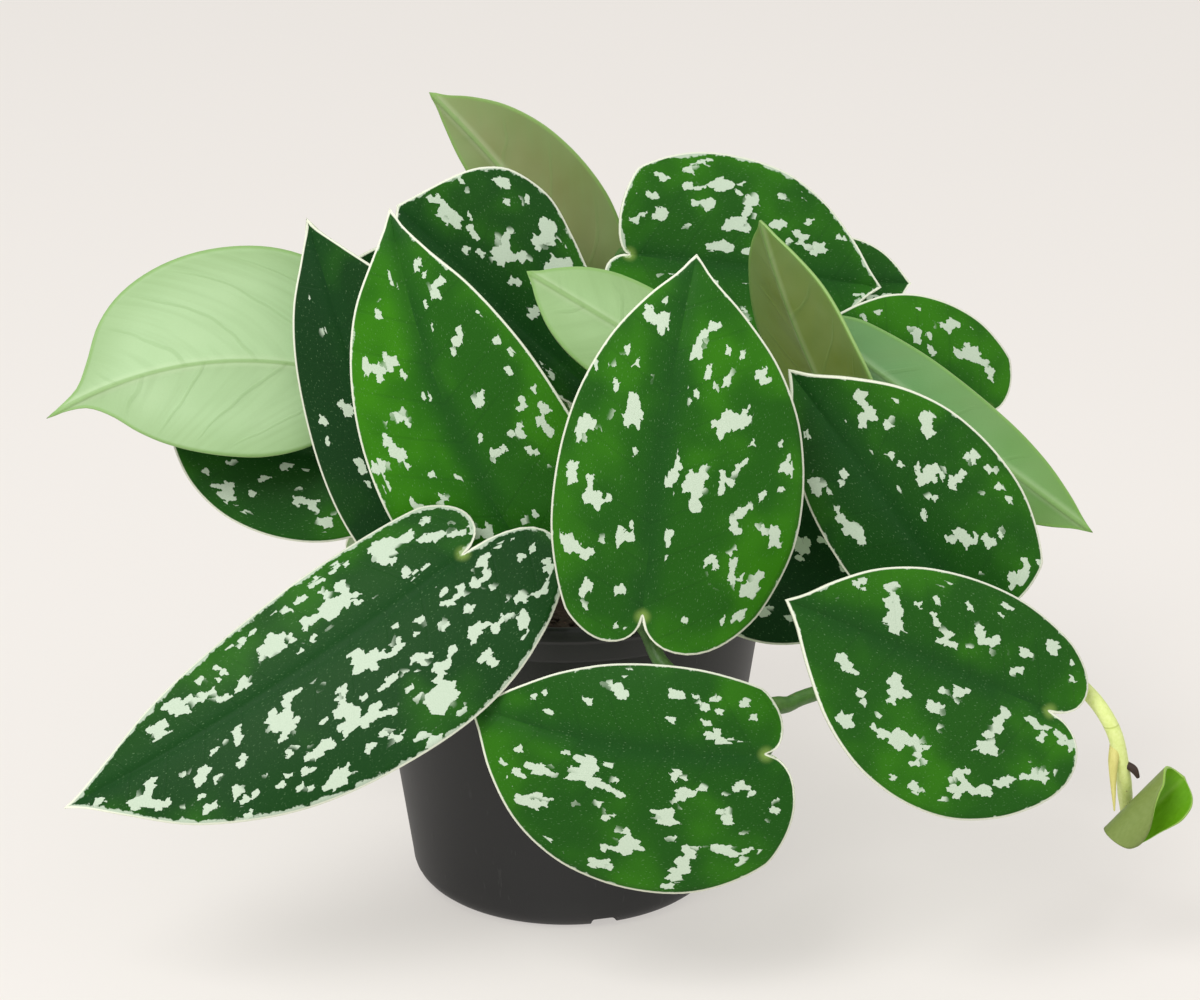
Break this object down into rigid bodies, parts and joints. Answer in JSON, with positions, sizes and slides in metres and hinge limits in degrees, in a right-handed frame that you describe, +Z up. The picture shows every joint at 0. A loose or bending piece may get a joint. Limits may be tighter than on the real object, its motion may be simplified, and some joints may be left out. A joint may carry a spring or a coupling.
{
  "type": "satin pothos",
  "caption": "Bushy satin pothos with silver-splashed heart-shaped leaves and one trailing vine, growing in a round tapered nursery pot.",
  "frame": {"origin": "centre of the pot's flat underside", "axes": "+Z up along the pot's axis, -Y towards the front of the plant, +X to the right, where the trailing vine ends"},
  "size_m": [0.3152, 0.2197, 0.2221],
  "materials": {
    "pot": "matt dark grey moulded plastic",
    "soil": "loose dark potting mix",
    "vine": "smooth green stem",
    "leaf": "satin green with silver splashes",
    "young_leaf": "satin pale green"
  },
  "bodies": {
    "root": {"pot": "pot", "soil": "soil", "vine_front": "vine", "vine_left": "vine", "vine_left_back": "vine", "vine_centre": "vine", "vine_right": "vine", "vine_back": "vine", "leaf_front_left": "leaf", "leaf_front_low": "leaf", "leaf_front_centre": "leaf", "leaf_front_right": "leaf", "leaf_right_front": "leaf", "leaf_left_upright": "leaf", "leaf_left_dark": "leaf", "leaf_left_turned": "leaf", "leaf_left_low": "leaf", "leaf_top_left": "leaf", "leaf_top_turned": "leaf", "leaf_centre_turned": "leaf", "leaf_top_right": "leaf", "leaf_top_right_back": "leaf", "leaf_right_standing": "leaf", "leaf_right_back": "leaf", "leaf_right_turned": "leaf", "leaf_right_shaded": "leaf", "leaf_left_back": "leaf", "leaf_back_left": "leaf", "leaf_back_centre": "leaf", "leaf_back_right": "leaf", "leaf_back_upper": "leaf", "leaf_rolled": "young_leaf"}
  },
  "joints": []
}
